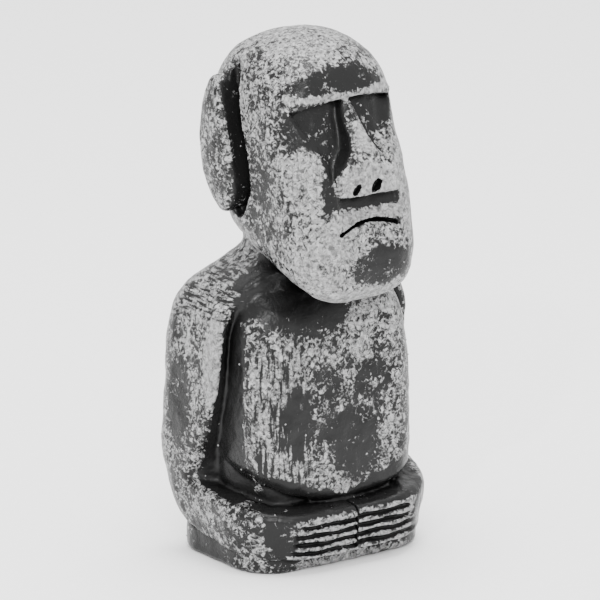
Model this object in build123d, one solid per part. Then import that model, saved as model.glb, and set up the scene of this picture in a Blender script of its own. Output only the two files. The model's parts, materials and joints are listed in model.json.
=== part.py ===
from build123d import *
import os

# A standing ancestor figure with a long stone face, an ornament in glazed slip-cast clay, 200 mm tall.
# It is luted together from separately cast and pressed pieces: a hollow torso with its plinth and neck,
# a hollow head, two ear slabs, two bent arms, two hands and a base plate. Z is up, the face looks
# along -Y and the figure's own right side is at -X. All lengths are in millimetres.

# Driving dimensions
LUTE = 0.2  # film of slip between two pieces
CENTRING = 3.6  # moves every piece back, so that the whole figure stands centred on the origin
OUTSIDE = 60.0  # a distance from the figure's axis that is clear of the whole figure

PLINTH_SIZE = (80.0, 57.0)
PLINTH_SHIFT = 1.5  # the plinth stands this far behind the figure's axis, under the overhanging hands
PLINTH_CORNER = 17.0
PLINTH_HEIGHT = 6.0
FOOT_WIDTH = 6.0  # the rim that the figure stands on, around the base plate
PLATE_THICKNESS = 4.0
PLATE_RECESS = 1.0  # the base plate's underside stands this far above the ground
VENT_RADIUS = 6.0

NECK_HEIGHT = 118.0  # where the seam under the head crosses the figure's axis
NECK_TILT = 18.8  # degrees that the seam rises towards the nape
SPIGOT_SIZE = (23.0, 20.0)
SPIGOT_CORNER = 6.0
SPIGOT_HEIGHT = 6.0
SPIGOT_SHIFT = 4.0  # the neck joint stands this far behind the figure's axis
CHANNEL_RADIUS = 6.5
CHANNEL_FOOT = 14.0  # how far the channel runs below the seam, and above it
CHANNEL_TOP = 28.0

EAR_X = 33.0  # outer face of the ears
EAR_BED_X = 18.0
EAR_ROUNDING = 2.5
EAR_KEY = (8.0, 6.0, 10.0)
EAR_KEY_PLACES = [(-28.0, 6.0, 168.0), (-28.0, 4.0, 147.0)]

ARM_INNER_X = 26.0  # the wrists: the arms end here and the hands begin
ARM_KEY = (8.0, 10.0, 8.0)
ARM_KEY_PLACES = [(-37.5, 14.0, 84.0), (-36.5, 16.0, 50.0)]

HAND_TOP = 23.5
HAND_KEY = (10.0, 6.0, 6.0)
HAND_KEY_PLACES = [(-13.0, -27.5, 15.0)]
FINGERS = 5
GROOVE_WIDTH = 1.3
GROOVE_DEPTH = 1.6

BROW_HEIGHT = 176.0
NOSE_TIP_Y = -41.0
NOSE_FOOT_HEIGHT = 145.0
NOSTRIL_PLACE = (4.6, 147.6)
NOSTRIL_SIZE = (5.4, 2.6)
NOSTRIL_LEAN = 40.0
NOSTRIL_DEPTH = 2.5
LIP_FACE_Y = -34.5  # the flat between the nose and the mouth
MOUTH_FACE_Y = -37.5
MOUTH_WIDTH = 1.3

# Rounded sections: height, half width, reach to the front, reach to the back, corner radius
TORSO_SECTIONS = [
    (0.0, 33.0, 27.0, 30.0, 15.0),
    (14.0, 33.5, 26.8, 30.5, 15.0),
    (28.0, 34.3, 26.5, 31.0, 15.0),
    (42.0, 35.6, 26.5, 31.4, 15.0),
    (56.0, 36.3, 25.6, 31.9, 15.0),
    (70.0, 36.5, 24.0, 31.9, 15.0),
    (83.0, 36.2, 22.3, 31.2, 15.0),
    (94.0, 34.5, 20.2, 29.4, 14.5),
    (102.0, 30.0, 17.8, 26.8, 13.0),
    (109.0, 21.5, 14.8, 23.0, 11.5),
    (118.0, 17.0, 12.5, 20.5, 10.5),
    (130.0, 16.5, 12.0, 20.0, 10.0),
]
ARM_SECTIONS = [
    (4.0, 41.5, 34.5, 25.0, 14.0),
    (16.0, 43.1, 35.4, 29.3, 14.0),
    (28.0, 44.3, 34.8, 32.6, 13.5),
    (40.0, 45.0, 33.3, 34.8, 13.0),
    (52.0, 44.7, 32.5, 34.8, 13.0),
    (64.0, 44.0, 31.8, 34.4, 13.0),
    (76.0, 43.7, 31.2, 34.1, 13.0),
    (86.0, 43.0, 30.6, 33.4, 13.0),
    (94.0, 41.2, 29.6, 32.0, 13.0),
    (100.5, 36.8, 27.8, 29.2, 13.0),
    (105.5, 29.5, 25.8, 25.8, 12.0),
    (109.5, 21.5, 24.0, 22.8, 11.0),
]
HEAD_SECTIONS = [
    (98.0, 21.0, 36.0, 14.0, 13.0),
    (108.0, 25.0, 41.0, 18.0, 16.0),
    (120.0, 27.0, 42.0, 22.0, 17.0),
    (134.0, 27.5, 38.5, 25.0, 17.0),
    (144.0, 27.5, 34.5, 26.5, 17.0),
    (155.0, 27.5, 29.5, 27.5, 17.0),
    (165.0, 27.5, 25.5, 28.0, 17.0),
    (178.0, 27.0, 22.0, 28.0, 16.0),
    (188.0, 24.0, 17.5, 25.0, 15.0),
    (195.0, 18.5, 12.0, 19.0, 12.5),
    (199.0, 11.0, 5.5, 12.0, 8.0),
    (200.0, 6.0, 1.0, 7.0, 3.9),
]

# The hollows that are left when the slip is poured out, as sections of the same kind
TORSO_HOLLOW = [
    (-1.0, 28.0, 19.0, 22.0, 10.0),
    (45.0, 31.0, 21.5, 26.5, 10.0),
    (85.0, 31.0, 17.0, 26.0, 10.0),
    (104.0, 21.0, 11.5, 20.0, 7.0),
    (111.0, 12.5, 8.0, 15.0, 5.0),
]
HEAD_HOLLOW = [
    (136.0, 19.0, 22.0, 18.0, 10.0),
    (150.0, 21.5, 15.0, 21.5, 11.0),
    (165.0, 21.5, 12.0, 22.5, 11.0),
    (180.0, 20.0, 12.0, 21.5, 10.0),
    (191.0, 14.0, 7.0, 15.0, 7.0),
]

# The right arm seen from the side, in (y, z): shoulder, crook of the elbow, wrist, then under the
# forearm and up the back. Its upper and rear corners lie outside the arm's own block.
ARM_OUTLINE = [
    (-9.0, 112.0),
    (-7.5, 93.0),
    (-4.5, 75.0),
    (0.5, 58.0),
    (4.5, 43.0),
    (8.0, 33.0),
    (3.0, 28.5),
    (-23.0, HAND_TOP + 2.0),
    (-45.0, HAND_TOP),
    (-45.0, PLINTH_HEIGHT + LUTE),
    (12.0, 8.5),
    (20.0, 11.0),
    (29.0, 21.0),
    (34.0, 33.0),
    (45.0, 45.0),
    (45.0, 112.0),
]


def section(height, half_width, front, back, corner, grow=0.0):
    """A rounded rectangle at one height, moved outwards by grow on every side."""
    outline = RectangleRounded(2 * (half_width + grow), front + back + 2 * grow, corner + grow)
    return Pos(0, (back - front) / 2, height) * outline


def block(sections, grow=0.0):
    """A smooth solid through a list of rounded sections."""
    return loft([section(*row, grow=grow) for row in sections])


def side_prism(points, x_from, x_to):
    """A closed outline in (y, z), of straight lines, extended along X between two places."""
    outline = make_face(Polyline(*[(x_from, y, z) for y, z in points], close=True))
    return extrude(outline, amount=x_to - x_from, dir=(1, 0, 0))


def front_cutter(points, depth_y):
    """A closed outline in (x, z), extended along Y from before the face back to depth_y."""
    outline = make_face(Polyline(*[(x, -OUTSIDE, z) for x, z in points], close=True))
    return extrude(outline, amount=OUTSIDE + depth_y, dir=(0, 1, 0))


def wedge_section(height, back_half_width, back_y, front_half_width, front_y):
    """One level of the nose: broad where it leaves the face, narrow along its ridge."""
    corners = [
        (-back_half_width, back_y),
        (back_half_width, back_y),
        (front_half_width, front_y),
        (-front_half_width, front_y),
    ]
    return Pos(0, 0, height) * make_face(Polyline(*corners, close=True))


def key(centre, size, grow=0.0):
    """A rectangular tenon, or with grow the mortise that it enters."""
    return Pos(*centre) * Box(*[side + 2 * grow for side in size])


def mirrored(piece):
    """The same piece for the figure's left side."""
    return mirror(piece, about=Plane.YZ)


def largest(shape):
    """The biggest solid of a cut shape, without the crumbs."""
    return Part() + max(shape.solids(), key=lambda solid: solid.volume)


def cut_mortises(shell, places, size):
    """A shell with the mortises for a pair of mirrored pieces."""
    for place in places:
        mortise = key(place, size, LUTE)
        shell -= mortise
        shell -= mirrored(mortise)
    return shell


def seam_plane(offset=0.0):
    """The plane under the head, which rises towards the nape, moved along its own normal."""
    level = Plane(origin=(0, 0, NECK_HEIGHT), x_dir=(1, 0, 0), z_dir=(0, 0, 1))
    return level.rotated((NECK_TILT, 0, 0)).offset(offset)


def beside_seam(offset, side):
    """A large block on one side of the seam plane: Align.MIN above it, Align.MAX below it."""
    large = 4 * OUTSIDE
    return seam_plane(offset) * Box(large, large, large, align=(Align.CENTER, Align.CENTER, side))


def spigot(low, high, grow=0.0):
    """The keyed neck joint: a rounded block that stands square on the seam plane."""
    width, depth = (side + 2 * grow for side in SPIGOT_SIZE)
    outline = RectangleRounded(width, depth, SPIGOT_CORNER + grow)
    return extrude(seam_plane(low) * Pos(0, SPIGOT_SHIFT) * outline, amount=high - low)


def neck_channel(low, high):
    """The open way through the neck, from the hollow torso to the hollow head."""
    outline = Circle(CHANNEL_RADIUS)
    return extrude(seam_plane(low) * Pos(0, SPIGOT_SHIFT) * outline, amount=high - low)


def plinth_outline(grow=0.0):
    """The outline of the plinth, moved outwards by grow on every side."""
    width, depth = (side + 2 * grow for side in PLINTH_SIZE)
    return Pos(0, PLINTH_SHIFT) * RectangleRounded(width, depth, PLINTH_CORNER + grow)


def torso_shell():
    """Chest, back, shoulders, neck and plinth, cast hollow and open underneath."""
    shell = block(TORSO_SECTIONS) & beside_seam(0, Align.MAX)
    shell += extrude(plinth_outline(), amount=PLINTH_HEIGHT)
    shell += spigot(-1, SPIGOT_HEIGHT)
    shell -= block(TORSO_HOLLOW)
    shell -= extrude(plinth_outline(LUTE - FOOT_WIDTH), amount=PLATE_RECESS + PLATE_THICKNESS)
    shell -= neck_channel(-CHANNEL_FOOT, 2 * SPIGOT_HEIGHT)
    shell = cut_mortises(shell, ARM_KEY_PLACES, ARM_KEY)
    return cut_mortises(shell, HAND_KEY_PLACES, HAND_KEY)


def base_plate():
    """The plate luted into the foot, with the vent hole in its middle."""
    plate = extrude(plinth_outline(-FOOT_WIDTH), amount=PLATE_THICKNESS)
    plate -= Pos(0, PLINTH_SHIFT) * Cylinder(VENT_RADIUS, 4 * PLATE_THICKNESS)
    return Pos(0, 0, PLATE_RECESS) * plate


def eye_socket():
    """The hollow under the brow on the figure's right side, deepest beside the nose."""
    front = front_cutter(
        [(-5.5, BROW_HEIGHT), (-24.5, BROW_HEIGHT), (-20.0, 158.0), (-12.0, 144.0)], 0
    )
    before_cheek = side_prism(
        [(-OUTSIDE, BROW_HEIGHT), (-16.0, BROW_HEIGHT), (-35.5, 142.0), (-OUTSIDE, 142.0)],
        -OUTSIDE,
        0,
    )
    return front & before_cheek


def nose():
    """A wedge that widens and comes forward as it goes down, with a flat tip."""
    bridge = wedge_section(BROW_HEIGHT + 0.2, 6.5, -10.0, 2.5, -21.5)
    foot = wedge_section(NOSE_FOOT_HEIGHT, 13.0, -26.0, 8.5, NOSE_TIP_Y)
    return loft([bridge, foot])


def nostril(side):
    """A leaning oval hollow punched into the tip of the nose."""
    x, z = NOSTRIL_PLACE
    oval = Rot(0, 0, NOSTRIL_LEAN) * Ellipse(NOSTRIL_SIZE[0] / 2, NOSTRIL_SIZE[1] / 2)
    tip = Plane(origin=(side * x, NOSE_TIP_Y + NOSTRIL_DEPTH, z), x_dir=(1, 0, 0), z_dir=(0, -1, 0))
    return extrude(tip * oval, amount=2 * NOSTRIL_DEPTH)


def upper_lip():
    """The flat cut under the nose that leaves its tip as a ledge."""
    top, foot = NOSE_FOOT_HEIGHT, NOSE_FOOT_HEIGHT - 8.0
    return front_cutter([(-14, top), (14, top), (12.5, foot), (-12.5, foot)], LIP_FACE_Y)


def mouth():
    """The slit between the lips, bent down at both ends."""
    upper = [(-14.6, 131.6), (-7.0, 134.2), (7.0, 134.2), (14.6, 131.6)]
    lower = [(x, z - MOUTH_WIDTH) for x, z in reversed(upper)]
    return front_cutter(upper + lower, MOUTH_FACE_Y)


def head_shell():
    """Skull and face, cast hollow, with its socket over the neck's spigot."""
    shell = block(HEAD_SECTIONS) & beside_seam(LUTE, Align.MIN)
    shell -= eye_socket()
    shell -= mirrored(eye_socket())
    shell += nose()
    shell -= upper_lip()
    shell -= mouth()
    shell -= nostril(-1)
    shell -= nostril(1)
    shell -= block(HEAD_HOLLOW)
    shell -= spigot(-1, SPIGOT_HEIGHT + LUTE, LUTE)
    shell -= neck_channel(0, CHANNEL_TOP)
    return cut_mortises(shell, EAR_KEY_PLACES, EAR_KEY)


def ear_outline():
    """The ear slab seen from the side: a straight leaning front and a bowed back."""
    front_top, front_foot = (5.5, 184.0), (-5.0, 145.0)
    bow = [(-2.0, 136.0), (5.0, 132.0), (15.0, 137.5), (21.0, 150.0), (22.5, 163.0), (20.0, 177.0),
           (13.5, 184.5)]
    rim = Line(front_top, front_foot) + Spline(front_foot, *bow, front_top)
    return Plane.YZ * make_face(rim)


def ear():
    """The right ear slab, bedded on the side of the head and held by two tenons."""
    slab = extrude(ear_outline(), amount=EAR_X, dir=(-1, 0, 0))
    outer_rim = slab.edges().filter_by_position(Axis.X, -EAR_X - LUTE, -EAR_X + LUTE)
    slab = fillet(outer_rim, EAR_ROUNDING)
    slab -= Box(2 * EAR_BED_X, 4 * OUTSIDE, 8 * OUTSIDE)
    slab -= block(HEAD_SECTIONS, LUTE)
    return slab + [key(place, EAR_KEY) for place in EAR_KEY_PLACES]


def arm():
    """The right arm: a shoulder cap and upper arm, bent at the elbow, and the forearm to the wrist."""
    solid = block(ARM_SECTIONS) & side_prism(ARM_OUTLINE, -OUTSIDE, -ARM_INNER_X)
    solid -= block(TORSO_SECTIONS, LUTE)
    return largest(solid) + [key(place, ARM_KEY) for place in ARM_KEY_PLACES]


def hand():
    """The right hand: a slab over the belly's foot, with grooves between the fingers."""
    width, height = ARM_INNER_X - 2 * LUTE, HAND_TOP - PLINTH_HEIGHT - LUTE
    region = Pos(-ARM_INNER_X / 2, 0, HAND_TOP) * Box(
        width, OUTSIDE, height, align=(Align.CENTER, Align.MAX, Align.MAX)
    )
    arms = block(ARM_SECTIONS)
    solid = arms & region
    solid -= block(TORSO_SECTIONS, LUTE)
    core = block(ARM_SECTIONS, -GROOVE_DEPTH)
    pitch = (HAND_TOP - PLINTH_HEIGHT) / FINGERS
    for gap in range(1, FINGERS):
        level = PLINTH_HEIGHT + gap * pitch
        slice_ = Pos(0, 0, level) * Box(4 * OUTSIDE, 4 * OUTSIDE, GROOVE_WIDTH)
        solid -= slice_ - core
    return largest(solid) + [key(place, HAND_KEY) for place in HAND_KEY_PLACES]


PIECES = {
    "torso_shell": torso_shell(),
    "head_shell": head_shell(),
    "base_plate": base_plate(),
    "ear_right": ear(),
    "arm_right": arm(),
    "hand_right": hand(),
}
for limb in ("ear", "arm", "hand"):
    PIECES[f"{limb}_left"] = mirrored(PIECES[f"{limb}_right"])

os.makedirs("parts", exist_ok=True)
for name, piece in PIECES.items():
    export_step(Pos(0, CENTRING, 0) * piece, f"parts/{name}.step")
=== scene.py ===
import json
import math

import bpy
import numpy as np
import openvdb
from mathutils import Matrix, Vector

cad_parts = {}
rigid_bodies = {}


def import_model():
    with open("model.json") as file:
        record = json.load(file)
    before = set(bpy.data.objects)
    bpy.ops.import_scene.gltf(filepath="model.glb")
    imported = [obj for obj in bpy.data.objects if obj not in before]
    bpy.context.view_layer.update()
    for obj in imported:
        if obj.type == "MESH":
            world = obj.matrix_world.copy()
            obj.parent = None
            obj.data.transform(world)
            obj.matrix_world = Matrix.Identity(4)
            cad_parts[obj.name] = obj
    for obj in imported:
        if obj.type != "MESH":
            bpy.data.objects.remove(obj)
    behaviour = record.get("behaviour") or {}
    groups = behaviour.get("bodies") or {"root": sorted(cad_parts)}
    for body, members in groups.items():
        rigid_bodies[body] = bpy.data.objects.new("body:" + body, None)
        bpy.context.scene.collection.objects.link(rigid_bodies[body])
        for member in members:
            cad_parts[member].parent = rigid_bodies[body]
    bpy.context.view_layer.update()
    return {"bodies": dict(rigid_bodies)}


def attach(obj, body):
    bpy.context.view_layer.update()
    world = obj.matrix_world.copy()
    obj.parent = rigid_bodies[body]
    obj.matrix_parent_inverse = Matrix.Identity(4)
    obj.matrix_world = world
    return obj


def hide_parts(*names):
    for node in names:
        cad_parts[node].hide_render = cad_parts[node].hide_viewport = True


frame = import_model()

# The figure is modelled as signed distance fields in millimetres (negative inside the clay) and each piece
# is meshed from its own field. x is the figure's left, -y is the way it faces and z is up; the whole
# figure then moves back by CENTRING, as its CAD pieces did.
MM = 0.001
CENTRING = 3.6
SEED = 7

EAR_X = 33.0  # outer face of the ears
WRIST_X = 32.0
HAND_TOP = 23.2
FINGERS = 5
FINGER_PITCH = 3.35
FIRST_FINGER_Z = 22.0  # upper edge of the topmost finger
PLINTH_HALF = (40.3, 29.2)
PLINTH_CORNER = 17.0
PLINTH_HALF_HEIGHT = 6.0
PLINTH_Y = 1.1  # the plinth stands back, under the overhanging hands
PLATE_HALF = (34.0, 22.5)
PLATE_CORNER = 11.0
PLATE_Y = 1.5
VENT_RADIUS = 6.0
FOOT_HOLLOW = (12.0, 20.0)  # radius and height of the hollow above the vent
BROW_Z = 178.6  # middle of the brow's under edge
NOSE_FOOT_Z = 143.9
MOUTH_X = 1.5  # mouth and lip sit a little to the figure's left
MOUTH_Z = 134.4
NOSTRIL_X = 4.6
NOSTRIL_Z = 147.2
SEAM_Z = 118.0  # the seam under the head crosses the figure's axis here and rises towards the nape
SEAM_SLOPE = 0.34
LAP = 1.5  # how far a piece runs on, out of sight, under its neighbour
CRUMB_RADIUS = 0.34 * MM
CRUMBS_PER_SQUARE_METRE = 2600.0


# ---------------------------------------------------------------- distance fields
def axes(low, high, step):
    """Open x, y and z axes of a grid that covers a box."""
    counts = [int(math.ceil((h - l) / step)) + 1 for l, h in zip(low, high)]
    ends = [l + step * np.arange(n, dtype=np.float32) for l, n in zip(low, counts)]
    return ends[0][:, None, None], ends[1][None, :, None], ends[2][None, None, :]


def smooth_curve(points, closed=True, steps=6):
    """A Catmull-Rom curve through the points, as a dense polyline."""
    points = np.array(points, dtype=float)
    count = len(points)
    spans = count if closed else count - 1
    index = np.arange(spans)[:, None] + np.array([-1, 0, 1, 2])
    index = index % count if closed else index.clip(0, count - 1)
    a, b, c, d = (points[index[:, k]][:, None, :] for k in range(4))
    t = (np.arange(steps) / steps)[None, :, None]
    curve = 0.5 * (2 * b + (c - a) * t + (2 * a - 5 * b + 4 * c - d) * t**2
                   + (3 * b - a - 3 * c + d) * t**3)
    curve = curve.reshape(-1, 2)
    return curve if closed else np.vstack([curve, points[-1:]])


def path_distance(u, v, points, closed=False):
    """Distance in a plane from every (u, v) to a polyline."""
    ends = zip(points, np.roll(points, -1, axis=0)) if closed else zip(points[:-1], points[1:])
    best = np.float32(1e9)
    for (u0, v0), (u1, v1) in ends:
        du, dv = u1 - u0, v1 - v0
        along = (((u - u0) * du + (v - v0) * dv) / (du * du + dv * dv + 1e-9)).clip(0, 1)
        best = np.minimum(best, (u - u0 - along * du) ** 2 + (v - v0 - along * dv) ** 2)
    return np.sqrt(best)


def outline_distance(u, v, points):
    """Signed distance in a plane to a closed outline, negative inside it."""
    crossings = np.zeros(np.broadcast(u, v).shape, dtype=bool)
    for (u0, v0), (u1, v1) in zip(points, np.roll(points, -1, axis=0)):
        if v0 == v1:
            continue
        spans = (v0 > v) != (v1 > v)
        crossings ^= spans & (u < (u1 - u0) * (v - v0) / (v1 - v0) + u0)
    return np.where(crossings, -1, 1).astype(np.float32) * path_distance(u, v, points, closed=True)


def both(a, b, radius):
    """What two fields share, with its convex edge rounded to a true radius."""
    a, b = a + radius, b + radius
    return np.minimum(np.maximum(a, b), 0) + np.hypot(np.maximum(a, 0), np.maximum(b, 0)) - radius


def merged(a, b, blend):
    """Two fields joined, with clay smoothed into the angle between them."""
    overlap = np.maximum(blend - np.abs(a - b), 0) / blend
    return np.minimum(a, b) - overlap * overlap * blend / 4


def cut(a, b, blend):
    """The first field with the second carved out of it."""
    return -merged(-a, b, blend)


def mirrored_outline(half):
    """A closed outline from its right-hand half, which is listed from the bottom up."""
    half = np.array(half, dtype=float)
    other = half[::-1] * (-1, 1)
    return np.vstack([half, other])


def bump(value, centre, width):
    """A smooth hill of height 1 at centre."""
    return np.exp(-(((value - centre) / width) ** 2))


def between(value, low, high):
    """0 below low, 1 above high, and a smooth step from one to the other."""
    t = ((value - low) / (high - low)).clip(0, 1)
    return t * t * (3 - 2 * t)


class Relief:
    """Smooth random relief over the whole figure, the same in every piece, from a lattice of knots."""

    def __init__(self, spacing, seed):
        self.spacing = spacing
        self.low = np.array([-60.0, -60.0, -20.0])
        counts = (np.array([120.0, 120.0, 240.0]) / spacing).astype(int) + 4
        self.knots = np.random.default_rng(seed).normal(size=counts).astype(np.float32)

    def weights(self, line, axis):
        """Cubic B-spline weights of the knots along one axis."""
        place = (line.ravel() - self.low[axis]) / self.spacing
        distance = np.abs(place[:, None] - np.arange(self.knots.shape[axis])[None, :])
        near = 2 / 3 - distance**2 + distance**3 / 2
        far = (2 - distance).clip(0) ** 3 / 6
        return np.where(distance < 1, near, far).astype(np.float32)

    def on(self, x, y, z):
        """The relief on the grid of three open axes, with heights of about 1."""
        wx, wy, wz = (self.weights(line, axis) for axis, line in enumerate((x, y, z)))
        field = np.tensordot(wx, self.knots, (1, 0))
        field = np.tensordot(field, wy, (1, 1))
        return 2.2 * np.tensordot(field, wz, (1, 1))


BROAD = Relief(15.0, SEED)
LUMPY = Relief(4.5, SEED + 1)
GRAINY = Relief(1.9, SEED + 2)


def relief(x, y, z, broad=0.28, lumpy=0.16, grainy=0.1):
    """Hand-made unevenness in millimetres: the press of fingers, lumps of slip, and grit."""
    field = broad * BROAD.on(x, y, z) + lumpy * LUMPY.on(x, y, z)
    return field + grainy * GRAINY.on(x, y, z)


# ---------------------------------------------------------------- the figure's forms
HEAD_FRONT = mirrored_outline([
    (18.0, 88.0), (22.5, 100.0), (25.0, 108.0), (27.0, 120.0), (27.5, 134.0), (27.6, 150.0),
    (27.5, 165.0), (27.0, 177.0), (24.8, 186.5), (20.5, 194.3), (13.5, 199.7), (5.0, 202.3),
])
HEAD_SIDE = [
    (1.0, 202.3), (-8.5, 200.7), (-16.5, 196.4), (-22.5, 190.0), (-26.0, 184.0), (-27.2, 178.5),
    (-27.6, 172.0), (-30.2, 164.0), (-34.8, 154.6), (-38.4, 143.0), (-41.0, 131.5), (-43.0, 120.0),
    (-42.2, 110.5), (-38.5, 104.6), (-32.0, 103.2), (-20.0, 106.5), (-6.0, 112.0), (5.0, 117.0),
    (13.0, 121.5), (19.0, 128.0), (22.8, 137.0), (26.0, 148.0), (27.9, 162.0), (28.0, 175.0),
    (26.0, 186.0), (20.0, 194.8), (11.0, 200.7),
]
NOSE_SIDE = [(-10.0, 178.5), (-25.0, 178.5), (-28.8, 174.3), (-34.8, 165.5), (-39.6, 157.6),
             (-41.1, 151.5), (-41.4, 147.5), (-40.3, NOSE_FOOT_Z), (-30.0, NOSE_FOOT_Z - 0.4),
             (-10.0, 150.0)]
# Against z: how far forward the sockets' floor and the nose's ridge lie, then the nose's half width and
# how far it stands off the middle
SOCKET_FLOOR = ((132.0, 138.0, 145.0, 155.0, 165.0, 172.0, 180.0),
                (46.0, 41.5, 36.9, 33.0, 27.6, 24.6, 22.0))
NOSE_RIDGE = ((144.0, 150.0, 157.6, 165.5, 174.3), (-41.4, -41.2, -39.6, -34.8, -28.8))
NOSE_WIDTH = ((143.0, 151.0, 154.5, 157.5, 160.5, 165.0, 174.0, 178.0),
              (13.4, 13.0, 11.6, 8.6, 5.4, 3.7, 2.2, 1.2))
NOSE_SHIFT = ((148.0, 155.0, 164.0, 174.0), (1.6, 1.3, 0.8, 0.0))
EAR_SIDE = [(10.2, 180.6), (6.9, 171.0), (3.2, 158.0), (0.7, 147.5), (1.2, 139.5), (4.2, 134.0),
            (9.5, 132.0), (15.0, 136.5), (20.0, 147.0), (22.3, 160.0), (21.4, 171.0), (18.2, 179.5),
            (14.2, 182.8)]
EAR_GROOVE = [(8.0, 196.5), (8.4, 190.5), (7.2, 183.0), (4.6, 171.5), (1.6, 159.0), (-0.8, 149.0),
              (-0.8, 140.5), (2.0, 134.0)]

TORSO_FRONT = mirrored_outline([
    (33.0, -30.0), (33.5, 14.0), (34.3, 28.0), (35.6, 42.0), (36.3, 56.0), (36.5, 70.0),
    (36.4, 83.0), (35.0, 94.0), (31.0, 102.5), (22.5, 109.5), (17.4, 118.0), (16.5, 140.0),
])
TORSO_SIDE = [
    (-27.0, -30.0), (-27.0, 14.0), (-27.2, 28.0), (-27.2, 42.0), (-26.5, 56.0), (-25.0, 70.0),
    (-23.2, 83.0), (-20.8, 94.0), (-17.8, 102.0), (-14.8, 109.0), (-12.5, 118.0), (-12.0, 140.0),
    (20.0, 140.0), (20.5, 118.0), (23.0, 109.0), (26.8, 102.0), (29.4, 94.0), (31.2, 83.0),
    (31.9, 70.0), (31.9, 56.0), (31.4, 42.0), (31.0, 28.0), (30.5, 14.0), (30.0, -30.0),
]
ARMS_FRONT = mirrored_outline([
    (40.5, -30.0), (42.0, 8.0), (43.3, 16.0), (44.6, 28.0), (45.2, 40.0), (44.9, 52.0),
    (44.2, 64.0), (43.9, 76.0), (43.2, 86.0), (41.6, 95.0), (37.5, 102.5), (31.0, 108.0),
    (22.0, 113.0), (10.0, 117.0),
])
ARMS_SIDE = [
    (-34.0, -30.0), (-35.0, 8.0), (-35.6, 16.0), (-35.0, 28.0), (-33.5, 40.0), (-32.0, 60.0),
    (-31.2, 80.0), (-29.8, 95.0), (-27.0, 108.0), (-20.0, 117.0), (18.0, 117.0), (25.0, 110.0),
    (30.0, 102.0), (32.5, 94.0), (33.8, 84.0), (34.3, 70.0), (34.8, 52.0), (35.0, 40.0),
    (32.8, 28.0), (29.5, 16.0), (25.0, 4.0), (23.0, -30.0),
]
# Shoulder, crook of the elbow, wrist, then under the forearm and up the back
ARM_SIDE = [
    (-9.5, 125.0), (-9.2, 104.0), (-8.8, 94.0), (-7.0, 81.0), (-4.0, 68.0), (0.6, 54.0), (4.4, 43.5),
    (8.4, 36.5), (10.2, 32.0), (6.5, 29.0), (-4.0, 27.0), (-16.0, 25.4), (-28.0, 24.0), (-36.0, HAND_TOP),
    (-48.0, HAND_TOP - 1.5), (-50.0, 5.2), (-30.0, 5.2), (0.0, 7.6), (13.0, 9.3), (21.0, 12.5),
    (28.5, 21.0), (35.0, 34.0), (50.0, 50.0), (50.0, 125.0),
]
# Against z: how far the upper arm's front falls back for every millimetre that it goes inwards
ARM_SLANT = ((33.0, 42.0, 59.0, 73.0, 86.0, 98.0, 106.0), (-0.6, 0.0, 0.1, 0.35, 0.55, 0.4, 0.0))


def nose_ridge(z):
    """Where the front of the nose's ridge lies at a height."""
    return np.interp(z, NOSE_RIDGE[0], NOSE_RIDGE[1]).astype(np.float32)


def nose_offset(x, z):
    """How far a point lies to the side of the nose's ridge, beyond its half width."""
    shift = np.interp(z, NOSE_SHIFT[0], NOSE_SHIFT[1]).astype(np.float32)
    return np.abs(x - shift) - np.interp(z, NOSE_WIDTH[0], NOSE_WIDTH[1]).astype(np.float32)


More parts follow.
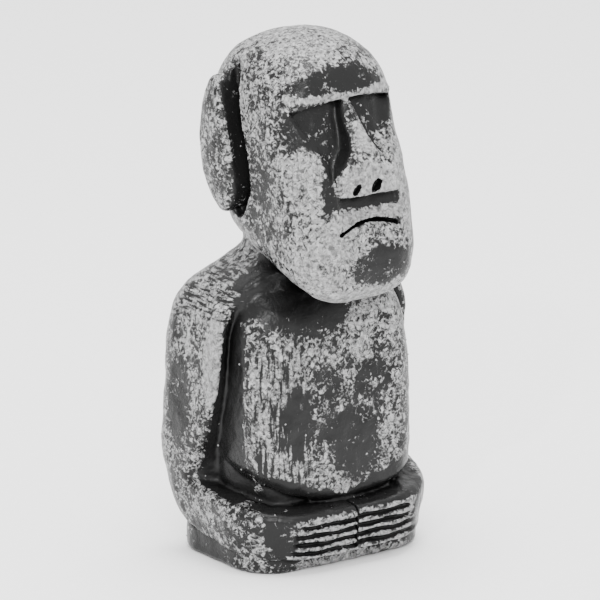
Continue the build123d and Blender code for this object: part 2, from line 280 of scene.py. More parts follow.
def head(x, y, z):
    """Skull and face."""
    side_x = np.abs(x)
    front = outline_distance(x, z, smooth_curve(HEAD_FRONT))
    side = outline_distance(y, z, smooth_curve(HEAD_SIDE))
    field = both(front, side, 15.7)
    # The sockets, scooped out under the arched brow and shallower down beside the nose
    brow_z = BROW_Z - 3.4 * (side_x / 23.5) ** 2
    floor_y = 0.036 * (side_x - 10).clip(0) ** 2
    floor_y = floor_y - np.interp(z, SOCKET_FLOOR[0], SOCKET_FLOOR[1]).astype(np.float32)
    outer = (side_x - 25.5) * 0.93 + (BROW_Z - z) * 0.36
    socket = both(both((y - floor_y) * 0.86, outer, 7.0), z - brow_z, 0.3)
    field = cut(field, socket, 1.3)
    # The brow's lower edge stands a little proud
    field = field - 0.5 * bump(z, brow_z + 1.7, 1.6) * between(-y, 12, 18)
    # Nose: a ridge that widens to broad wings at its foot
    ridge = outline_distance(y, z, smooth_curve(NOSE_SIDE, steps=4))
    flank = 0.9 * (nose_offset(x, z) - 0.12 * (y - nose_ridge(z)).clip(0))
    field = merged(field, both(ridge, flank, 1.4), 0.9)
    # Under the nose the lip falls back, then comes forward again down to the mouth
    foot_z = NOSE_FOOT_Z - 0.05 * x
    fall = y + 36.3 + 0.42 * (foot_z - z)
    lip = both(both(fall, np.abs(x - MOUTH_X) - 13.2, 1.8), z - foot_z, 0.5)
    field = cut(field, lip, 0.9)
    # Mouth: a slit that bends down at both ends, between rounded lips
    mouth_z = MOUTH_Z - 0.019 * (x - MOUTH_X) ** 2
    slit = both(np.abs(z - mouth_z) - 0.45 + 0.02 * x, np.abs(x - 1.3) - 14.0, 0.7)
    slit = both(slit, np.maximum(np.abs(field) - 2.6, y + 20.0), 0.3)
    field = field - 0.9 * bump(z, mouth_z - 2.6, 2.2) * (1 - between(side_x, 9, 17)) * between(-y, 26, 32)
    field = field - 0.7 * bump(z, mouth_z + 2.0, 1.8) * (1 - between(side_x, 9, 14)) * between(-y, 26, 32)
    field = cut(field, slit, 0.7)
    # Nostrils: leaning oval hollows
    for sign in (-1, 1):
        u, v, w = x - sign * NOSTRIL_X + 0.6, z - NOSTRIL_Z, y + 40.9
        lean = math.radians(48)
        along = u * math.cos(lean) + v * math.sin(lean)
        across = v * math.cos(lean) - u * math.sin(lean)
        size = np.sqrt((along / 2.7) ** 2 + (across / 1.6) ** 2 + (w / 2.8) ** 2)
        field = cut(field, (size - 1) * 1.6, 0.4)
    # The groove in front of the ears runs on up the skull, ever shallower
    path = path_distance(y, z, smooth_curve(EAR_GROOVE, closed=False))
    depth = 22.0 + 3.5 * between(z, 182, 197) + 1.5 * (1 - between(z, 134, 140))
    groove = both(path - 3.2 + 1.2 * between(z, 180, 192), depth - side_x, 1.6)
    field = cut(field, groove, 1.4)
    return field


def ear(x, y, z):
    """Both ear slabs, a little swollen outwards."""
    outline = outline_distance(y, z, smooth_curve(EAR_SIDE))
    swell = 0.011 * ((y - 9) ** 2 + 0.35 * (z - 158) ** 2)
    slab = both(outline, np.abs(x) - EAR_X - 0.6 + swell.clip(0, 2.2), 2.6)
    return np.maximum(slab, 21.0 - np.abs(x))


def torso(x, y, z):
    """Chest, back and neck. Its front ends in a rounded lower edge over the hands, like an apron."""
    side_x = np.abs(x)
    front = outline_distance(x, z, smooth_curve(TORSO_FRONT))
    side = outline_distance(y, z, smooth_curve(TORSO_SIDE))
    body = both(front, side, 12.5 - 2.0 * between(z, 94, 116))
    hem = 22.0 + 0.1 * side_x + 6.0 * (side_x / 32.0) ** 2 - 0.07 * x
    apron = both(body, (hem - z) * 0.9, 4.5)
    core = body + 4.8 * between(-y, -2, 16)
    return np.minimum(apron, core)


def arms(x, y, z):
    """Upper arms, forearms and, across the front, the slab that the hands are cut in."""
    front = outline_distance(x, z, smooth_curve(ARMS_FRONT))
    side = outline_distance(y, z, smooth_curve(ARMS_SIDE))
    slant = np.interp(z, ARM_SLANT[0], ARM_SLANT[1]).astype(np.float32)
    slant = slant * between(z, 26, 33) * (1 - between(y, 8, 24))
    inwards = (43.5 - np.abs(x)).clip(0, 10)
    # The crook of the left elbow is fuller than the right one's
    forward = 16.0 * between(x, 5, 30) * bump(z, 32, 9) * (1 - between(y, 9, 24))
    rod = outline_distance(y + forward - slant * inwards, z, smooth_curve(ARM_SIDE))
    corner = 13.0 + 15.0 * between(-y, -5, 15) * (1 - between(z, 30, 55))
    limbs = both(both(front, side, corner), rod, 3.2)
    # Below the shoulder and behind the wrists they reach in no further than the torso's sides
    inner = 30.5 - np.abs(x) + 1.1 * (y - 26).clip(0) - 1.6 * (-y - 4).clip(0)
    inner = inner - 45.0 * between(z, 84, 104)
    return both(limbs, 0.8 * inner, 2.0)


def rounded_plan(u, v, half, corner):
    """Signed distance in plan to a rectangle with rounded corners."""
    u, v = np.abs(u) - (half[0] - corner), np.abs(v) - (half[1] - corner)
    return np.hypot(np.maximum(u, 0), np.maximum(v, 0)) + np.minimum(np.maximum(u, v), 0) - corner


def plinth(x, y, z):
    """The rounded block that the figure stands on."""
    plan = rounded_plan(x, y - PLINTH_Y, PLINTH_HALF, PLINTH_CORNER)
    return both(plan, np.abs(z - PLINTH_HALF_HEIGHT) - PLINTH_HALF_HEIGHT, 2.4)


def plate_plan(x, y):
    """The base plate's outline, a little inside the plinth's."""
    return rounded_plan(x, y - PLATE_Y, PLATE_HALF, PLATE_CORNER)


def fingers(x, y, z):
    """How deep the grooves between the fingers are pressed in, in millimetres."""
    side_x = np.abs(x)
    depth = 0.0
    for gap in range(FINGERS):
        for sign in (-1, 1):
            level = FIRST_FINGER_Z - (gap + 1) * FINGER_PITCH + 0.35 * sign
            level = level + 0.25 * np.sin(0.4 * x + 2 * gap)
            reach = 27.5 + 0.9 * gap + 0.9 * math.sin(2.1 * gap + sign)
            row = bump(z, level, 0.95) * between(reach - side_x, 0, 5) * between(sign * x, 0.0, 0.8)
            depth = depth + 2.0 * row
    return depth * between(-y, 25, 28)


# ---------------------------------------------------------------- the pieces
def shoulder_blend(z):
    """How softly arm and torso meet: smooth over the shoulder, a sharp crease below it."""
    return 1.2 + 6.0 * between(z, 90, 104)


def arm_territory(x, y, z, skin):
    """Negative where clay belongs to an arm: outside the torso, and beyond the wrist's plane."""
    return np.maximum(WRIST_X - np.abs(x), -(torso(x, y, z) + skin))


def torso_piece(x, y, z):
    """Torso, neck and plinth, with the shoulders' roots, up to where the neck ends inside the head."""
    body = torso(x, y, z)
    limbs = arms(x, y, z)
    joined = merged(body, limbs + 0.05, shoulder_blend(z))
    cap = between(z, 78, 88) * (1 - between(np.abs(x), WRIST_X + 0.5, WRIST_X + 2.5))
    joined = np.maximum(joined, body - LAP - 5.0 * cap)
    joined = merged(joined, plinth(x, y, z), 2.0)
    in_head = z - SEAM_Z - SEAM_SLOPE * y - 5.0 - 0.6 * y.clip(0)
    # The foot is open for the base plate, and hollow above the plate's vent hole
    recess = np.maximum(plate_plan(x, y) - 0.6, z - 5.4)
    from_vent = np.hypot(x, y - PLATE_Y)
    recess = np.minimum(recess, np.maximum(from_vent - FOOT_HOLLOW[0], z - FOOT_HOLLOW[1]))
    return np.maximum(np.maximum(joined, in_head), -recess)


def arm_piece(side):
    """One arm, down to the wrist."""
    def field(x, y, z):
        limbs = arms(x, y, z)
        joined = merged(limbs, torso(x, y, z), shoulder_blend(z))
        joined = np.maximum(joined, arm_territory(x, y, z, LAP))
        joined = np.maximum(joined, 4.0 - z)
        return np.maximum(joined, -side * x)
    return field


def hand_piece(side):
    """One hand, from the wrist to where it meets the other."""
    def field(x, y, z):
        slab = arms(x, y, z) + 0.04 + fingers(x, y, z)
        inner = np.maximum(np.abs(x) - WRIST_X - LAP, -(torso(x, y, z) + LAP))
        slab = np.maximum(slab, np.maximum(inner, 4.0 - z))
        return np.maximum(slab, 0.05 - side * x)
    return field


def plate_piece(x, y, z):
    """The plate that closes the foot, with its vent hole."""
    slab = both(plate_plan(x, y), np.abs(z - 3.0) - 2.0, 0.6)
    return cut(slab, np.hypot(x, y - PLATE_Y) - VENT_RADIUS, 0.6)


# Each piece: its field, the corners of the box that it is meshed in, and the CAD nodes that it replaces
PIECES = {
    "clay_head": (head, (-31, -46, 98), (31, 31, 204), ["head_shell"]),
    "clay_torso": (torso_piece, (-43, -37, -2), (43, 36, 142), ["torso_shell"]),
    "clay_ear_right": (ear, (-36, -8, 128), (-19, 26, 188), ["ear_right"]),
    "clay_ear_left": (ear, (19, -8, 128), (36, 26, 188), ["ear_left"]),
    "clay_arm_right": (arm_piece(-1), (-48, -39, 2), (-24, 38, 116), ["arm_right"]),
    "clay_arm_left": (arm_piece(1), (24, -39, 2), (48, 38, 116), ["arm_left"]),
    "clay_hand_right": (hand_piece(-1), (-36, -39, 2), (3, -16, 30), ["hand_right"]),
    "clay_hand_left": (hand_piece(1), (-3, -39, 2), (36, -16, 30), ["hand_left"]),
    "clay_base_plate": (plate_piece, (-35, -31, -1), (35, 31, 7), ["base_plate"]),
}


def figure(x, y, z):
    """The whole figure as one field."""
    limbs = merged(torso(x, y, z), arms(x, y, z) + fingers(x, y, z), 1.2)
    return np.minimum(np.minimum(limbs, plinth(x, y, z)), np.minimum(head(x, y, z), ear(x, y, z)))


# ---------------------------------------------------------------- where the paint lies
# Ellipsoids (centre, radii, strength) where the pale paint missed the glaze or was laid on thick; a few,
# marked below, are partly painted shade and painted light
BARE = [
    ((-1, -25, 184), (18, 12, 5.4), 0.55), ((-20, -20, 181), (6, 7, 5), 0.3),
    ((-13, -25, 169), (11.5, 9, 9.5), 0.8), ((-9.5, -31, 157), (5.5, 7, 11), 0.8),
    ((12, -26, 171), (11, 8, 7), 0.6), ((7, -30, 163), (3.5, 6, 9), 0.6),
    ((5.5, -43, 117), (15, 10, 6.6), 0.62), ((-15.5, -38, 146), (2.6, 6, 7), 0.6),
    # The two patches at the throat, under the chin, are partly painted shade
    ((-24, -9, 101), (13, 12, 14), 0.5), ((-12, -18, 97), (15, 9, 11), 0.6),
    ((-22, -27, 57), (6, 8, 12), 0.6), ((4, -27, 46), (10.5, 9, 12), 0.6),
    ((14, -24, 68), (9, 7, 7), 0.3), ((-8, -26, 62), (16, 8, 14), 0.12), ((-44, 17, 60), (7, 7, 16), 0.45),
    ((-31.5, -31, 17), (6, 9, 11), 0.45), ((31, -28, 13), (5, 9, 10), 0.6),
    ((-41, 4, 3), (7, 18, 6), 0.4), ((43, 12, 62), (8, 8, 16), 0.4), ((8, 31, 70), (10, 8, 16), 0.4),
    ((-16, 31, 44), (8, 8, 10), 0.4), ((30, 8, 104), (10, 10, 8), 0.3), ((-10, 27, 170), (9, 7, 11), 0.35),
    ((29, 24, 30), (9, 9, 8), 0.4), ((27, 6, 150), (4, 6, 8), 0.3), ((-26, -12, 140), (3, 9, 22), 0.15),
    ((-20, -32, 128), (5, 5, 12), 0.2), ((-40, -12, 18), (7, 12, 8), 0.1),
]
LAID = [
    ((-21, -30, 150), (7, 10, 13), 0.25), ((-16, -36, 122), (14, 12, 16), 0.3),
    ((20, -34, 140), (10, 12, 22), 0.3), ((1, -41, 149), (16, 8, 8), 0.4),
    ((2, -35, 164), (4, 5, 10), 0.35), ((0, -40, 136), (15, 6, 3), 0.35),
    ((0, -39, 106), (22, 10, 4), 0.35), ((0, -24, 179.6), (28, 9, 2.0), 0.6),
    ((-44, -3, 80), (3.5, 6, 26), 0.35), ((-2, -27, 27), (22, 8, 4), 0.22),
    # The patch at the top of the skull is partly painted light, paler where the light from above falls
    ((0, -28, 3), (26, 9, 3.5), 0.3), ((-5, 0, 197), (22, 26, 12), 0.2),
    ((18, -22, 92), (14, 8, 12), 0.12),
]
# The same kind of list for painted shadow: the throat under the chin, darkened soot-black for the shade
# that falls there
PAINTED_SHADOW = [((-20, -12, 99), (14, 12, 10), 0.45), ((-6, -17, 95), (16, 9, 7), 0.45)]
GROOVE_PATH = smooth_curve(EAR_GROOVE, closed=False)


def patch(x, y, z, centre, radii):
    """1 inside an ellipsoid, fading to 0 around its edge."""
    u, v, w = ((p - c) / r for p, c, r in zip((x, y, z), centre, radii))
    return 1 - between(np.sqrt(u * u + v * v + w * w), 0.6, 1.3)


def shut_in(x, y, z, closed):
    """Adds to the measured closeness the hollows that are too fine for the measuring grid, the patches of
    painted shadow and painted shade along the nose's crease.
    """
    side_x = np.abs(x)
    # Patches of painted shadow raise the closeness, so the glaze goes black there
    for centre, radii, strength in PAINTED_SHADOW:
        closed = closed + strength * patch(x, y, z, centre, radii)
    grooves = fingers(x, y, z) / 2.0 * (1 - between(side_x, WRIST_X - 1, WRIST_X))
    wall = (1 - between(path_distance(y, z, GROOVE_PATH), 3.2, 4.6)) * between(side_x, 19, 22)
    wall = wall * (1 - between(side_x, 30.0, 31.6)) * (1 - between(z, 182, 194))
    for sign in (-1, 1):
        nostril = patch(x, y, z, (sign * NOSTRIL_X - 0.6, -39.5, NOSTRIL_Z), (1.7, 2.6, 2.2))
        closed = np.maximum(closed, nostril * between(y, -41.0, -40.6))
    # Painted shade in the crease between the nose and its socket
    crease = bump(nose_offset(x, z), 0.5, 1.4) * between(y - nose_ridge(z), 1.0, 2.5)
    crease = crease * between(z, 150, 156) * (1 - between(z, 176, 179)) * between(-y, 18, 22)
    closed = np.maximum(closed, 0.6 * crease)
    return np.maximum(closed, np.maximum(0.85 * grooves, 0.5 * wall)).clip(0, 1)


def paint_cover(x, y, z, closed):
    """How much of the surface the paint covers, from 0 to 1."""
    side_x = np.abs(x)
    cover = 0.54 - 0.05 * (1 - between(z, 58, 72))
    for centre, radii, strength in LAID:
        cover = cover + strength * patch(x, y, z, centre, radii)
    for centre, radii, strength in BARE:
        cover = cover - strength * patch(x, y, z, centre, radii)
    # Even the bare places caught a few flecks
    cover = np.maximum(cover, 0.15)
    # The ridges of the fingers caught the brush
    ridge = sum(bump(z, FIRST_FINGER_Z - (k + 0.5) * FINGER_PITCH, 1.1) for k in range(FINGERS))
    ridge = ridge * between(-y, 23, 26) * (1 - between(side_x, 26, 31)) * (z < HAND_TOP + 1)
    cover = cover + 0.28 * ridge
    # The valley between arm and belly was left bare, down to the crook of the elbow, and the band under
    # the belly's hem
    valley = between(side_x, 29, 33) * (1 - between(side_x, 39, 42)) * between(y, -14, -10)
    valley = valley * (1 - between(y, 8, 13)) * (1 - between(z, 86, 96)) * between(z, 23, 27)
    band = between(-y, 14, 20) * (1 - between(z, 24.5 + 0.3 * side_x, 27.5 + 0.35 * side_x))
    band = band * between(z, HAND_TOP - 1.6, HAND_TOP) * (1 - between(side_x, 34, 38))
    # So were the nose's flanks, and the band under its foot; there the bare glaze also stands for painted
    # shade
    flank = between(y - nose_ridge(z), 0.8, 2.2) * (1 - between(nose_offset(x, z), 1.5, 4))
    flank = flank * between(z, 156, 160)
    flank = flank * (1 - between(z, 176, 178)) * between(-y, 18, 22)
    foot_z = NOSE_FOOT_Z - 0.05 * x
    foot = between(z, foot_z - 5.0, foot_z - 3.4) * (1 - between(z, foot_z, foot_z + 0.6))
    foot = foot * (1 - between(np.abs(x - MOUTH_X), 13.5, 16)) * between(-y, 28, 32)
    bare_and_painted_shade = np.maximum(np.maximum(valley, band), np.maximum(flank, foot))
    return cover - 0.8 * bare_and_painted_shade - 1.5 * (closed - 0.22).clip(0, 1)


def brushed_down(x, y, z):
    """1 on the belly's right side, where the brush was drawn downwards."""
    belly = between(-y, -6, 4) * (1 - between(np.abs(x + 26), 7, 13))
    return belly * between(z, 30, 40) * (1 - between(z, 80, 92))


def brushed_round(x, y, z):
    """1 over the shoulders, where the brush went round."""
    shoulder = between(z, 88, 98) * (1 - between(z, 112, 118))
    return shoulder * between(np.abs(x), 20, 27) * between(y, -14, -6)


def sampled(grid, low, step, points):
    """Values of a regular grid at free points, interpolated along all three axes."""
    place = (points - low) / step
    place = place.clip(0, np.array(grid.shape) - 1.001)
    corner = place.astype(int)
    part = place - corner
    total = 0.0
    for i in (0, 1):
        for j in (0, 1):
            for k in (0, 1):
                weight = np.abs(1 - np.array([i, j, k]) - part).prod(1)
                total = total + weight * grid[tuple((corner + (i, j, k)).T)]
    return total


WHOLE_LOW, WHOLE_HIGH, WHOLE_STEP = (-52.0, -52.0, -10.0), (52.0, 44.0, 210.0), 1.0
WHOLE = figure(*axes(WHOLE_LOW, WHOLE_HIGH, WHOLE_STEP))


# The closeness darkens the glaze in the crevices as painted shade, and keeps the pale paint out of them
def closeness(points, normals):
    """0 in the open and 1 deep in a crevice, from the clear room along each point's normal."""
    shut = 0.0
    for reach, weight in ((1.2, 0.3), (3.0, 0.4), (7.0, 0.3)):
        room = sampled(WHOLE, WHOLE_LOW, WHOLE_STEP, points + reach * normals)
        shut = shut + weight * (1 - room / reach).clip(0, 1)
    return shut


def attribute(mesh, name, values):
    """One number for each point of a mesh, for the materials to read."""
    layer = mesh.attributes.new(name, "FLOAT", "POINT")
    layer.data.foreach_set("value", values.astype(np.float32))


def meshed(name, field, low, high, step):
    """A closed mesh of the zero surface of a field, in metres and in the shared frame."""
    x, y, z = axes(low, high, step)
    values = np.maximum(field(x, y, z) + relief(x, y, z), -z).astype(np.float32)
    grid = openvdb.FloatGrid(background=5.0)
    grid.copyFromArray(np.ascontiguousarray(values))
    grid.transform = openvdb.createLinearTransform(voxelSize=step)
    points, quads = grid.convertToQuads()
    points = points + np.array(low)
    mesh = bpy.data.meshes.new(name)
    mesh.from_pydata(((points + (0, CENTRING, 0)) * MM).tolist(), [], quads.tolist())
    mesh.validate()
    mesh.polygons.foreach_set("use_smooth", [True] * len(mesh.polygons))
    normals = np.empty(3 * len(mesh.vertices), dtype=np.float32)
    mesh.vertices.foreach_get("normal", normals)
    closed = closeness(points, normals.reshape(-1, 3))
    px, py, pz = points.T
    closed = shut_in(px, py, pz, closed)
    attribute(mesh, "closed", closed)
    attribute(mesh, "cover", paint_cover(px, py, pz, closed).clip(0, 1))
    attribute(mesh, "brushed_down", brushed_down(px, py, pz))
    attribute(mesh, "brushed_round", brushed_round(px, py, pz))
    return mesh


# ---------------------------------------------------------------- materials
def colour(code):
    """Linear colour from sRGB hex."""
    parts = [int(code[k:k + 2], 16) / 255 for k in (1, 3, 5)]
    return tuple(p / 12.92 if p <= 0.04045 else ((p + 0.055) / 1.055) ** 2.4 for p in parts) + (1.0,)


def add(tree, kind, settings=None, inputs=None):
    """A node with its settings and its inputs, each a constant or a link from another node's output."""
    made = tree.nodes.new(kind)
    for key, value in (settings or {}).items():
        setattr(made, key, value)
    for key, value in (inputs or {}).items():
        if isinstance(value, bpy.types.NodeSocket):
            tree.links.new(value, made.inputs[key])
        else:
            made.inputs[key].default_value = value
    return made


def new_material(name):
    """A material with an empty node tree, and that tree."""
    material = bpy.data.materials.new(name)
    material.use_nodes = True
    tree = material.node_tree
    tree.nodes.clear()
    return material, tree


def glazed_clay():
    """Slip-cast clay under a charcoal semi-gloss glaze, dry-brushed with pale grey paint. The paint keeps
    to what stands proud, in clots and wormy strokes; the glaze shines in the hollows and goes black in
    the crevices, partly where it pooled and partly as painted shade."""
    material, tree = new_material("dry_brushed_glazed_clay")
    place = add(tree, "ShaderNodeTexCoord").outputs["Object"]
    cover = add(tree, "ShaderNodeAttribute", {"attribute_name": "cover"}).outputs["Fac"]
    closed = add(tree, "ShaderNodeAttribute", {"attribute_name": "closed"}).outputs["Fac"]
    downwards = add(tree, "ShaderNodeAttribute", {"attribute_name": "brushed_down"}).outputs["Fac"]
    roundabout = add(tree, "ShaderNodeAttribute", {"attribute_name": "brushed_round"}).outputs["Fac"]
    # Clots of paint 1.7 mm across, gathered in drifts of about 7 mm
    clots = add(tree, "ShaderNodeTexNoise", {}, {
        "Vector": place, "Scale": 1 / (1.7 * MM), "Detail": 4.0, "Roughness": 0.66, "Distortion": 0.7})
    drifts = add(tree, "ShaderNodeTexNoise", {}, {
        "Vector": place, "Scale": 1 / (7.0 * MM), "Detail": 2.0, "Roughness": 0.55})
    # Strokes of a stiff brush: down the belly's side, and round the shoulder
    flat_down = add(tree, "ShaderNodeMapping", {"vector_type": "POINT"}, {
        "Vector": place, "Scale": (1, 1, 0.13)})
    strokes_down = add(tree, "ShaderNodeTexNoise", {}, {
        "Vector": flat_down.outputs[0], "Scale": 1 / (1.5 * MM), "Detail": 2.0, "Distortion": 0.2})
    flat_round = add(tree, "ShaderNodeMapping", {"vector_type": "POINT"}, {
        "Vector": place, "Scale": (0.3, 0.16, 1)})
    strokes_round = add(tree, "ShaderNodeTexNoise", {}, {
        "Vector": flat_round.outputs[0], "Scale": 1 / (1.0 * MM), "Detail": 2.0, "Distortion": 0.4})
    height = add(tree, "ShaderNodeMix", {"data_type": "FLOAT"}, {
        0: 0.36, 2: clots.outputs["Fac"], 3: drifts.outputs["Fac"]}).outputs[0]
    weight_down = add(tree, "ShaderNodeMath", {"operation": "MULTIPLY"}, {0: downwards, 1: 0.62}).outputs[0]
    height = add(tree, "ShaderNodeMix", {"data_type": "FLOAT"}, {
        0: weight_down, 2: height, 3: strokes_down.outputs["Fac"]}).outputs[0]
    weight_round = add(tree, "ShaderNodeMath", {"operation": "MULTIPLY"}, {
        0: roundabout, 1: 0.62}).outputs[0]
    height = add(tree, "ShaderNodeMix", {"data_type": "FLOAT"}, {
        0: weight_round, 2: height, 3: strokes_round.outputs["Fac"]}).outputs[0]
    bar = add(tree, "ShaderNodeMapRange", {}, {
        "Value": cover, "From Min": 0.0, "From Max": 1.0, "To Min": 0.66, "To Max": 0.33}).outputs[0]
    above = add(tree, "ShaderNodeMath", {"operation": "SUBTRACT"}, {0: height, 1: bar}).outputs[0]
    mask = add(tree, "ShaderNodeMapRange", {}, {
        "Value": above, "From Min": -0.03, "From Max": 0.045, "To Min": 0.0, "To Max": 1.0}).outputs[0]
    # Wormy cracks between the clots, and pinholes
    worms = add(tree, "ShaderNodeTexNoise", {}, {
        "Vector": place, "Scale": 1 / (3.2 * MM), "Detail": 1.0, "Distortion": 1.6}).outputs["Fac"]
    worms = add(tree, "ShaderNodeMath", {"operation": "SUBTRACT"}, {0: worms, 1: 0.5}).outputs[0]
    worms = add(tree, "ShaderNodeMath", {"operation": "ABSOLUTE"}, {0: worms}).outputs[0]
    worms = add(tree, "ShaderNodeMapRange", {}, {
        "Value": worms, "From Min": 0.008, "From Max": 0.026, "To Min": 0.85, "To Max": 0.0}).outputs[0]
    pits = add(tree, "ShaderNodeTexNoise", {}, {
        "Vector": place, "Scale": 1 / (1.3 * MM), "Detail": 0.0}).outputs["Fac"]
    pits = add(tree, "ShaderNodeMapRange", {}, {
        "Value": pits, "From Min": 0.63, "From Max": 0.7, "To Min": 0.0, "To Max": 0.9}).outputs[0]
    marks = add(tree, "ShaderNodeMath", {"operation": "MAXIMUM"}, {0: worms, 1: pits}).outputs[0]
    thick = add(tree, "ShaderNodeMapRange", {}, {
        "Value": cover, "From Min": 0.7, "From Max": 1.0, "To Min": 1.0, "To Max": 0.25}).outputs[0]
    marks = add(tree, "ShaderNodeMath", {"operation": "MULTIPLY"}, {0: marks, 1: thick}).outputs[0]
    kept = add(tree, "ShaderNodeMath", {"operation": "SUBTRACT"}, {0: 1.0, 1: marks}).outputs[0]
    mask = add(tree, "ShaderNodeMath", {"operation": "MULTIPLY"}, {0: mask, 1: kept}).outputs[0]
    # Paint is a little uneven in tone; the glaze goes black in the crevices, partly where it pooled and
    # partly as painted shade
    wear = add(tree, "ShaderNodeMapRange", {}, {
        "Value": clots.outputs["Fac"], "From Min": 0.36, "From Max": 0.66,
        "To Min": 0.0, "To Max": 1.0}).outputs[0]
    tone = add(tree, "ShaderNodeMix", {"data_type": "RGBA"}, {
        0: wear, 6: colour("#5e5e5e"), 7: colour("#a8a8a8")}).outputs[2]
    pooled_and_shaded = add(tree, "ShaderNodeMapRange", {}, {
        "Value": closed, "From Min": 0.28, "From Max": 0.8, "To Min": 0.0, "To Max": 1.0}).outputs[0]
    glaze = add(tree, "ShaderNodeMix", {"data_type": "RGBA"}, {
        0: pooled_and_shaded, 6: colour("#191919"), 7: colour("#080808")}).outputs[2]
    paint = add(tree, "ShaderNodeMix", {"data_type": "RGBA"}, {0: mask, 6: glaze, 7: tone}).outputs[2]
    rough = add(tree, "ShaderNodeMix", {"data_type": "FLOAT"}, {0: mask, 2: 0.2, 3: 0.62}).outputs[0]
    shine = add(tree, "ShaderNodeMapRange", {}, {
        "Value": closed, "From Min": 0.3, "From Max": 0.8, "To Min": 0.18, "To Max": 0.12}).outputs[0]
    raised = add(tree, "ShaderNodeMix", {"data_type": "FLOAT"}, {
        0: 0.35, 2: clots.outputs["Fac"], 3: mask}).outputs[0]
    bumps = add(tree, "ShaderNodeBump", {}, {"Strength": 0.8, "Distance": 0.45 * MM, "Height": raised})
    surface = add(tree, "ShaderNodeBsdfPrincipled", {}, {
        "Base Color": paint, "Roughness": rough, "Specular IOR Level": shine, "Normal": bumps.outputs[0]})
    add(tree, "ShaderNodeOutputMaterial", {}, {"Surface": surface.outputs[0]})
    return material


def biscuit_clay():
    """Unglazed biscuit-fired casting clay: pale and chalky, with fine grog and faint sponge marks."""
    material, tree = new_material("biscuit_clay")
    place = add(tree, "ShaderNodeTexCoord").outputs["Object"]
    # The grog is finer in clay; it is drawn at 0.8 mm so that it shows at all
    grog = add(tree, "ShaderNodeTexNoise", {}, {
        "Vector": place, "Scale": 1 / (0.8 * MM), "Detail": 3.0}).outputs["Fac"]
    sponge = add(tree, "ShaderNodeTexNoise", {}, {
        "Vector": place, "Scale": 1 / (9.0 * MM), "Detail": 2.0}).outputs["Fac"]
    mixed = add(tree, "ShaderNodeMix", {"data_type": "FLOAT"}, {0: 0.5, 2: grog, 3: sponge}).outputs[0]
    tone = add(tree, "ShaderNodeMix", {"data_type": "RGBA"}, {
        0: mixed, 6: colour("#6c6a67"), 7: colour("#98958f")}).outputs[2]
    bumps = add(tree, "ShaderNodeBump", {}, {"Strength": 0.6, "Distance": 0.2 * MM, "Height": grog})
    surface = add(tree, "ShaderNodeBsdfPrincipled", {}, {
        "Base Color": tone, "Roughness": 0.9, "Normal": bumps.outputs[0]})
    add(tree, "ShaderNodeOutputMaterial", {}, {"Surface": surface.outputs[0]})
    return material


def crumb_paint():
    """Crumbs of slip caught under the glaze; the dry brush left them the palest spots of all."""
    material, tree = new_material("painted_slip_crumbs")
    place = add(tree, "ShaderNodeTexCoord").outputs["Object"]
    mottle = add(tree, "ShaderNodeTexNoise", {}, {
        "Vector": place, "Scale": 1 / (1.5 * MM), "Detail": 2.0}).outputs["Fac"]
    tone = add(tree, "ShaderNodeMix", {"data_type": "RGBA"}, {
        0: mottle, 6: colour("#808080"), 7: colour("#a6a6a6")}).outputs[2]
    surface = add(tree, "ShaderNodeBsdfPrincipled", {}, {"Base Color": tone, "Roughness": 0.5})
    add(tree, "ShaderNodeOutputMaterial", {}, {"Surface": surface.outputs[0]})
    return material


def paper():
    """Smooth white card under the figure."""
    material, tree = new_material("white_card")
    place = add(tree, "ShaderNodeTexCoord").outputs["Object"]
    # The card's tooth is finer than this; it is drawn at a third of a centimetre
    tooth = add(tree, "ShaderNodeTexNoise", {}, {
        "Vector": place, "Scale": 1 / (10 / 3 * MM), "Detail": 2.0}).outputs["Fac"]
    tone = add(tree, "ShaderNodeMix", {"data_type": "RGBA"}, {
        0: tooth, 6: colour("#fafafa"), 7: colour("#ffffff")}).outputs[2]
    surface = add(tree, "ShaderNodeBsdfPrincipled", {}, {"Base Color": tone, "Roughness": 0.9})
    add(tree, "ShaderNodeOutputMaterial", {}, {"Surface": surface.outputs[0]})
    return material


GLAZED, BISCUIT, CRUMBS, CARD = glazed_clay(), biscuit_clay(), crumb_paint(), paper()
BODY = next(iter(frame["bodies"]))


def placed(name, data):
    """An object at the origin that shows a mesh, a light or a camera."""
    made = bpy.data.objects.new(name, data)
    bpy.context.collection.objects.link(made)
    return made


# Grid steps in millimetres; the torso's is coarser to keep its triangles down
VOXEL = 0.6
TORSO_VOXEL = 0.72
PLACED = {}
for name, (field, low, high, nodes) in PIECES.items():
    step = TORSO_VOXEL if name == "clay_torso" else VOXEL
    piece = placed(name, meshed(name, field, low, high, step))
    piece.data.materials.append(BISCUIT if name == "clay_base_plate" else GLAZED)
    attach(piece, BODY)
    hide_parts(*nodes)
    PLACED[name] = piece


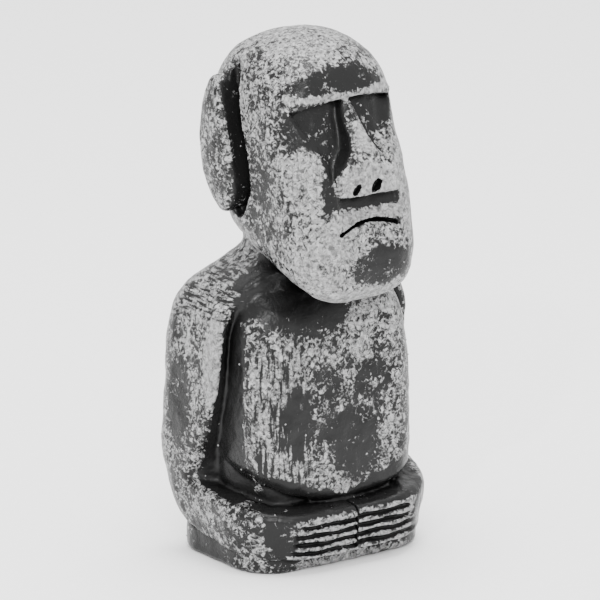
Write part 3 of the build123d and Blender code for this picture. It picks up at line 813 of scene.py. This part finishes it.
# ---------------------------------------------------------------- crumbs of slip on the surface
def crumbs_tree():
    """Geometry Nodes: scatters small crumbs, half sunk, over a glazed piece."""
    tree = bpy.data.node_groups.new("slip_crumbs", "GeometryNodeTree")
    for label, kind in (("Geometry", "NodeSocketGeometry"), ("Per square metre", "NodeSocketFloat"),
                        ("Radius", "NodeSocketFloat"), ("Seed", "NodeSocketInt"),
                        ("Material", "NodeSocketMaterial")):
        tree.interface.new_socket(label, in_out="INPUT", socket_type=kind)
    tree.interface.new_socket("Geometry", in_out="OUTPUT", socket_type="NodeSocketGeometry")
    given = add(tree, "NodeGroupInput")
    # None under the foot, so that the figure stands flat
    position = add(tree, "GeometryNodeInputPosition").outputs["Position"]
    height = add(tree, "ShaderNodeSeparateXYZ", {}, {"Vector": position}).outputs["Z"]
    above_foot = add(tree, "FunctionNodeCompare", {"data_type": "FLOAT", "operation": "GREATER_THAN"}, {
        "A": height, "B": 1.0 * MM})
    spots = add(tree, "GeometryNodeDistributePointsOnFaces", {"distribute_method": "RANDOM"}, {
        "Mesh": given.outputs["Geometry"], "Selection": above_foot.outputs["Result"],
        "Density": given.outputs["Per square metre"], "Seed": given.outputs["Seed"]})
    crumb = add(tree, "GeometryNodeMeshIcoSphere", {}, {
        "Radius": given.outputs["Radius"], "Subdivisions": 2})
    size = add(tree, "FunctionNodeRandomValue", {"data_type": "FLOAT"}, {
        2: 0.45, 3: 1.25, "Seed": given.outputs["Seed"]})
    copies = add(tree, "GeometryNodeInstanceOnPoints", {}, {
        "Points": spots.outputs["Points"], "Instance": crumb.outputs["Mesh"],
        "Rotation": spots.outputs["Rotation"], "Scale": size.outputs[1]})
    real = add(tree, "GeometryNodeRealizeInstances", {}, {"Geometry": copies.outputs[0]})
    painted = add(tree, "GeometryNodeSetMaterial", {}, {
        "Geometry": real.outputs[0], "Material": given.outputs["Material"]})
    add(tree, "NodeGroupOutput", {}, {"Geometry": painted.outputs[0]})
    return tree


CRUMBS_TREE = crumbs_tree()
SOCKETS = {item.name: item.identifier
           for item in CRUMBS_TREE.interface.items_tree if item.in_out == "INPUT"}


def scatter_crumbs(piece, seed):
    """Adds the crumbs that stand on one piece, as a plain mesh of their own."""
    source = placed(piece.name + "_source", piece.data)
    modifier = source.modifiers.new("crumbs", "NODES")
    modifier.node_group = CRUMBS_TREE
    modifier[SOCKETS["Per square metre"]] = CRUMBS_PER_SQUARE_METRE
    modifier[SOCKETS["Radius"]] = CRUMB_RADIUS
    modifier[SOCKETS["Seed"]] = seed
    modifier[SOCKETS["Material"]] = CRUMBS
    view = bpy.context.evaluated_depsgraph_get()
    mesh = bpy.data.meshes.new_from_object(source.evaluated_get(view))
    bpy.data.objects.remove(source)
    crumbs = placed("crumbs_on_" + piece.name, mesh)
    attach(crumbs, BODY)


for number, name in enumerate(("head", "torso", "ear_right", "ear_left", "arm_right", "arm_left")):
    scatter_crumbs(PLACED["clay_" + name], SEED + number)


# ---------------------------------------------------------------- floor, light and camera
FLOOR_REACH = 8.0
FIGURE_MIDDLE = Vector((0, 0, 0.1))
floor = placed("floor", bpy.data.meshes.new("floor"))
corners = [(FLOOR_REACH * u, FLOOR_REACH * v, 0) for u, v in ((-1, -1), (1, -1), (1, 1), (-1, 1))]
floor.data.from_pydata(corners, [], [(0, 1, 2, 3)])
floor.data.materials.append(CARD)

world = bpy.data.worlds.new("light_tent")
world.use_nodes = True
world.node_tree.nodes["Background"].inputs["Color"].default_value = (1, 1, 1, 1)
world.node_tree.nodes["Background"].inputs["Strength"].default_value = 1.6
bpy.context.scene.world = world


def soft_light(name, place, size, watts):
    """A square soft box that looks at the figure."""
    data = bpy.data.lights.new(name, "AREA")
    data.size = size
    data.energy = watts
    light = placed(name, data)
    light.location = place
    light.rotation_euler = (FIGURE_MIDDLE - Vector(place)).to_track_quat("-Z", "Y").to_euler()


soft_light("key", (-0.9, -1.3, 1.1), 0.5, 22.0)
soft_light("glint", (-1.0, -0.8, 1.0), 0.04, 6.0)
soft_light("top", (0.1, 0.1, 1.5), 0.9, 34.0)

camera = placed("camera", bpy.data.cameras.new("camera"))
camera.data.lens = 720.0
camera.data.sensor_width = 36.0
camera.data.clip_end = 30.0
AZIMUTH, ELEVATION, DISTANCE = math.radians(-36.0), math.radians(16.5), 4.444
TARGET = Vector((-0.0012, 0.0036, 0.0946))
towards = Vector((math.sin(AZIMUTH) * math.cos(ELEVATION), -math.cos(AZIMUTH) * math.cos(ELEVATION),
                  math.sin(ELEVATION)))
camera.location = TARGET + DISTANCE * towards
camera.rotation_euler = (-towards).to_track_quat("-Z", "Y").to_euler()
bpy.context.scene.camera = camera
